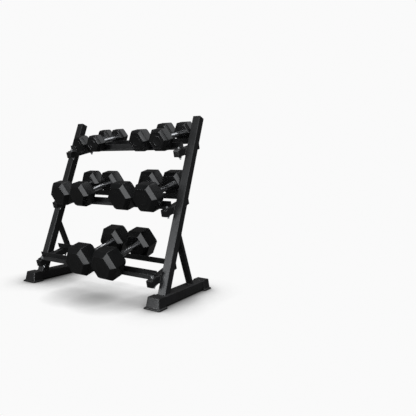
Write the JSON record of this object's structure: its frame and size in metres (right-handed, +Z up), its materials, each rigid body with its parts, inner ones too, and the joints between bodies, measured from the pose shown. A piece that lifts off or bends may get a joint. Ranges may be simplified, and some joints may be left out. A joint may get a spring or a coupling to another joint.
{
  "type": "dumbbell rack",
  "caption": "Leaning A-frame rack with sloping twin-rail shelves on side arms, holding pairs of rubber hex dumbbells that lift off",
  "frame": {"origin": "on the floor, under the middle of the whole loaded rack's box", "axes": "+X to the rack's right as its user sees it, +Y to the rear, +Z up; the user stands on the -Y side"},
  "size_m": [1.074, 0.6052, 1.04],
  "materials": {
    "black_powder_coat": "satin black powder coat",
    "black_plastic": "moulded black plastic",
    "black_rubber": "satin black rubber coating",
    "bright_chrome": "polished chrome with a knurled grip",
    "zinc_plate": "bright zinc plate",
    "grey_iron": "rough casting, hidden under the rubber"
  },
  "bodies": {
    "rack": {"base_tube_left": "black_powder_coat", "base_tube_right": "black_powder_coat", "foot_caps_front": "black_plastic", "foot_caps_rear": "black_plastic", "upright_left": "black_powder_coat", "upright_right": "black_powder_coat", "upright_caps": "black_plastic", "rear_strut_left": "black_powder_coat", "rear_strut_right": "black_powder_coat", "arm_bottom_left": "black_powder_coat", "arm_bottom_right": "black_powder_coat", "arm_middle_left": "black_powder_coat", "arm_middle_right": "black_powder_coat", "arm_top_left": "black_powder_coat", "arm_top_right": "black_powder_coat", "arm_caps_front": "black_plastic", "arm_caps_rear": "black_plastic", "rail_bottom_front": "black_powder_coat", "rail_bottom_rear": "black_powder_coat", "rail_middle_front": "black_powder_coat", "rail_middle_rear": "black_powder_coat", "rail_top_front": "black_powder_coat", "rail_top_rear": "black_powder_coat", "rail_bolts": "zinc_plate", "rail_washers": "zinc_plate", "rail_nuts": "zinc_plate"},
    "dumbbell_10kg_a": {"heads_10kg_a": "black_rubber", "cores_10kg_a": "grey_iron", "handle_10kg_a": "bright_chrome"},
    "dumbbell_10kg_b": {"heads_10kg_b": "black_rubber", "cores_10kg_b": "grey_iron", "handle_10kg_b": "bright_chrome"},
    "dumbbell_15kg_a": {"heads_15kg_a": "black_rubber", "cores_15kg_a": "grey_iron", "handle_15kg_a": "bright_chrome"},
    "dumbbell_15kg_b": {"heads_15kg_b": "black_rubber", "cores_15kg_b": "grey_iron", "handle_15kg_b": "bright_chrome"},
    "dumbbell_20kg_a": {"heads_20kg_a": "black_rubber", "cores_20kg_a": "grey_iron", "handle_20kg_a": "bright_chrome"},
    "dumbbell_20kg_b": {"heads_20kg_b": "black_rubber", "cores_20kg_b": "grey_iron", "handle_20kg_b": "bright_chrome"},
    "dumbbell_25kg_a": {"heads_25kg_a": "black_rubber", "cores_25kg_a": "grey_iron", "handle_25kg_a": "bright_chrome"},
    "dumbbell_25kg_b": {"heads_25kg_b": "black_rubber", "cores_25kg_b": "grey_iron", "handle_25kg_b": "bright_chrome"},
    "dumbbell_30kg_a": {"heads_30kg_a": "black_rubber", "cores_30kg_a": "grey_iron", "handle_30kg_a": "bright_chrome"},
    "dumbbell_30kg_b": {"heads_30kg_b": "black_rubber", "cores_30kg_b": "grey_iron", "handle_30kg_b": "bright_chrome"}
  },
  "joints": [
    {"name": "lift_10kg_a", "type": "slide", "parent": "rack", "child": "dumbbell_10kg_a", "axis": [0, -0.2924, 0.9563], "range_m": [0, 0.25]},
    {"name": "lift_10kg_b", "type": "slide", "parent": "rack", "child": "dumbbell_10kg_b", "axis": [0, -0.2924, 0.9563], "range_m": [0, 0.25]},
    {"name": "lift_15kg_a", "type": "slide", "parent": "rack", "child": "dumbbell_15kg_a", "axis": [0, -0.2924, 0.9563], "range_m": [0, 0.25]},
    {"name": "lift_15kg_b", "type": "slide", "parent": "rack", "child": "dumbbell_15kg_b", "axis": [0, -0.2924, 0.9563], "range_m": [0, 0.25]},
    {"name": "lift_20kg_a", "type": "slide", "parent": "rack", "child": "dumbbell_20kg_a", "axis": [0, -0.2924, 0.9563], "range_m": [0, 0.09]},
    {"name": "lift_20kg_b", "type": "slide", "parent": "rack", "child": "dumbbell_20kg_b", "axis": [0, -0.2924, 0.9563], "range_m": [0, 0.09]},
    {"name": "lift_25kg_a", "type": "slide", "parent": "rack", "child": "dumbbell_25kg_a", "axis": [0, -0.2924, 0.9563], "range_m": [0, 0.09]},
    {"name": "lift_25kg_b", "type": "slide", "parent": "rack", "child": "dumbbell_25kg_b", "axis": [0, -0.2924, 0.9563], "range_m": [0, 0.09]},
    {"name": "lift_30kg_a", "type": "slide", "parent": "rack", "child": "dumbbell_30kg_a", "axis": [0, -0.2924, 0.9563], "range_m": [0, 0.12]},
    {"name": "lift_30kg_b", "type": "slide", "parent": "rack", "child": "dumbbell_30kg_b", "axis": [0, -0.2924, 0.9563], "range_m": [0, 0.12]}
  ]
}
